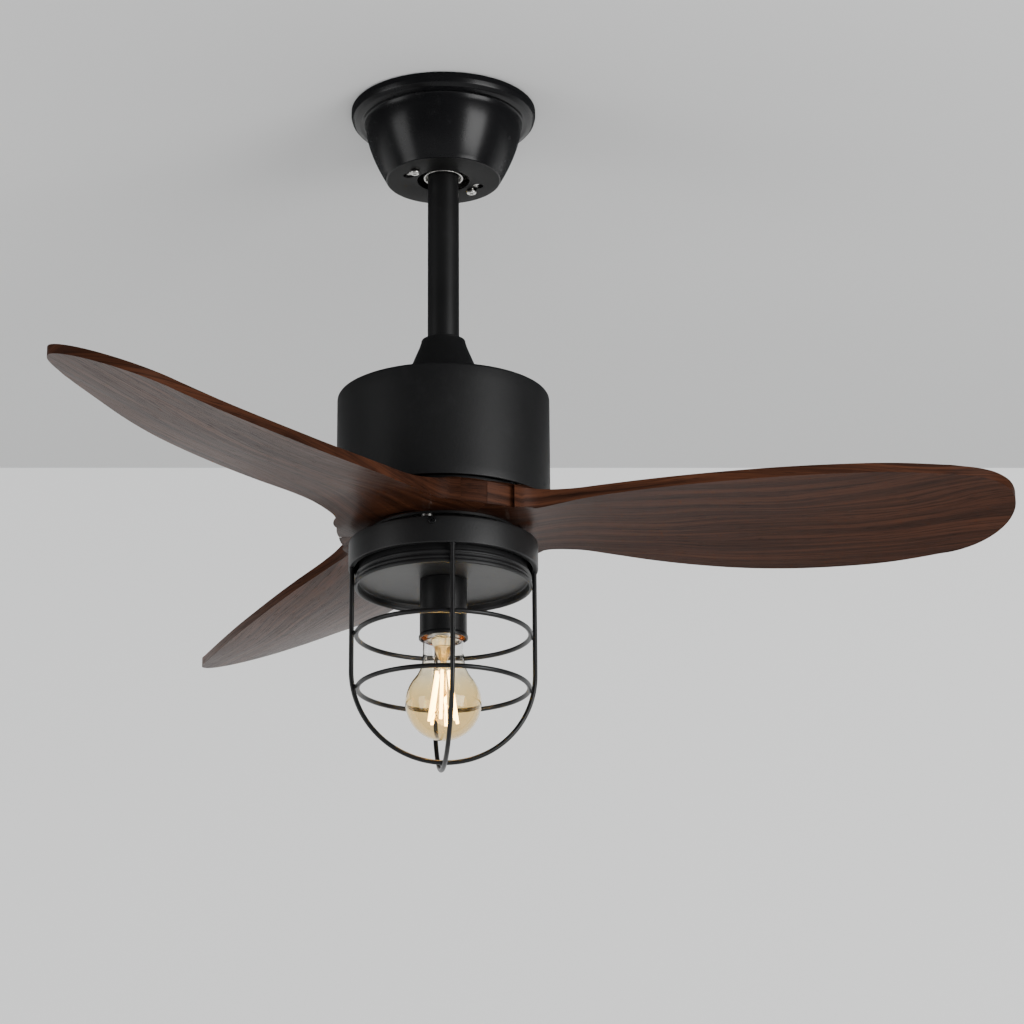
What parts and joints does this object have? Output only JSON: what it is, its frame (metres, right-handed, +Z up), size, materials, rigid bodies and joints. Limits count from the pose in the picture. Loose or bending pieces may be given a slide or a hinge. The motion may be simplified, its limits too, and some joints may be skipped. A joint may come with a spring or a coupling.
{
  "type": "ceiling fan with light",
  "caption": "Ceiling fan on a short downrod with walnut blades, a drum motor and a caged bare-bulb light below.",
  "frame": {"origin": "centre of the mounting bracket's top face, midway between the two ceiling screw slots, on the ceiling", "axes": "+Z up into the ceiling; X along the line of the two ceiling screws; -Y towards the front"},
  "size_m": [0.7404, 0.8042, 0.5706],
  "materials": {
    "satin_black": "satin powder coat",
    "matte_black": "matte powder coat",
    "bright_steel": "bright zinc",
    "dark_steel": "oiled steel",
    "walnut": "satin lacquer",
    "copper": "bare",
    "white_plastic": "matte",
    "black_nylon": "matte",
    "board_green": "gloss",
    "bulb_glass": "clear, amber below",
    "bulb_metal": "satin",
    "filament": "glowing"
  },
  "bodies": {
    "ceiling_mount": {"mounting_bracket": "bright_steel", "canopy": "satin_black", "canopy_screws": "bright_steel", "receiver_module": "white_plastic", "terminal_block": "white_plastic"},
    "hanging_column": {"hanger_ball": "black_nylon", "hanger_pin": "bright_steel", "hanger_pin_clip": "bright_steel", "ball_set_screw": "bright_steel", "downrod": "satin_black", "supply_leads": "white_plastic", "motor_yoke": "dark_steel", "yoke_bolt": "bright_steel", "yoke_bolt_clip": "bright_steel", "yoke_set_screws": "bright_steel", "coupling_cover": "satin_black", "motor_housing": "matte_black", "housing_screws": "bright_steel", "hollow_shaft": "dark_steel", "stator_core": "dark_steel", "stator_windings": "copper", "driver_board": "board_green", "shaft_nut": "bright_steel", "light_strap": "bright_steel", "light_ring": "matte_black", "light_ring_screws": "matte_black", "light_pan": "matte_black", "lampholder_cover": "satin_black", "lampholder_insulator": "white_plastic", "lampholder_shell": "copper", "lampholder_contact": "copper", "cage_hoop_side": "satin_black", "cage_hoop_front": "satin_black", "cage_ring_upper": "satin_black", "cage_ring_lower": "satin_black"},
    "rotor": {"rotor_shell": "dark_steel", "rotor_cover": "dark_steel", "rotor_magnets": "dark_steel", "upper_bearing": "bright_steel", "lower_bearing": "bright_steel", "blade_carrier": "matte_black", "blade_1": "walnut", "blade_2": "walnut", "blade_3": "walnut", "blade_clamp": "matte_black", "blade_screws": "bright_steel"},
    "bulb": {"bulb_globe": "bulb_glass", "bulb_cap": "bulb_metal", "bulb_contact": "bulb_metal", "bulb_stem": "bulb_glass", "bulb_filaments": "filament"}
  },
  "joints": [
    {"name": "hanger_tilt", "type": "hinge", "parent": "ceiling_mount", "child": "hanging_column", "pos_m": [0, 0, -0.032], "axis": [1, 0, 0], "range_deg": [-10, 10]},
    {"name": "fan_spin", "type": "hinge", "parent": "hanging_column", "child": "rotor", "pos_m": [0, 0, -0.3653], "axis": [0, 0, 1], "continuous": true},
    {"name": "bulb_travel", "type": "slide", "parent": "hanging_column", "child": "bulb", "axis": [0, 0, 1], "range_m": [-0.014, 0]}
  ]
}
